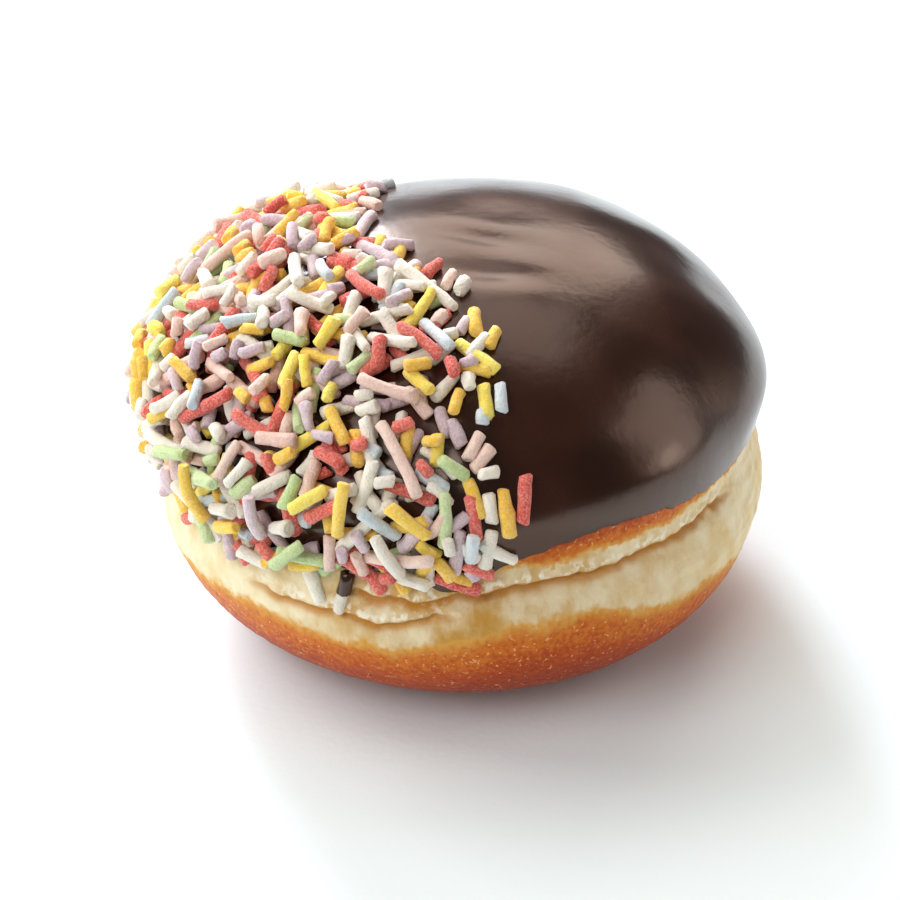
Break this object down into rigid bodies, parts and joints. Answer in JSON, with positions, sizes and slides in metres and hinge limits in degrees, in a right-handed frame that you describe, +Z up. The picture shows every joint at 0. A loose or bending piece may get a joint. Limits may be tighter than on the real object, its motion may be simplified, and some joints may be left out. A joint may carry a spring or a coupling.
{
  "type": "chocolate glazed doughnut",
  "caption": "Round filled yeast doughnut without a hole, under a dark chocolate coat, with coloured sugar strands on its left half and a pale band round its side.",
  "frame": {"origin": "middle of the flat spot under the doughnut, on the surface it rests on", "axes": "+Z up, -Y towards the front, +X to the right seen from the front, strands on the -X side"},
  "size_m": [0.0893, 0.0885, 0.0593],
  "materials": {
    "fried_dough": "soft matt fried dough, pale band between golden-brown crusts",
    "dark_chocolate": "glossy dark chocolate, with chalky sugar strands fused on"
  },
  "bodies": {
    "root": {"dough": "fried_dough", "chocolate_glaze": "dark_chocolate"}
  },
  "joints": []
}
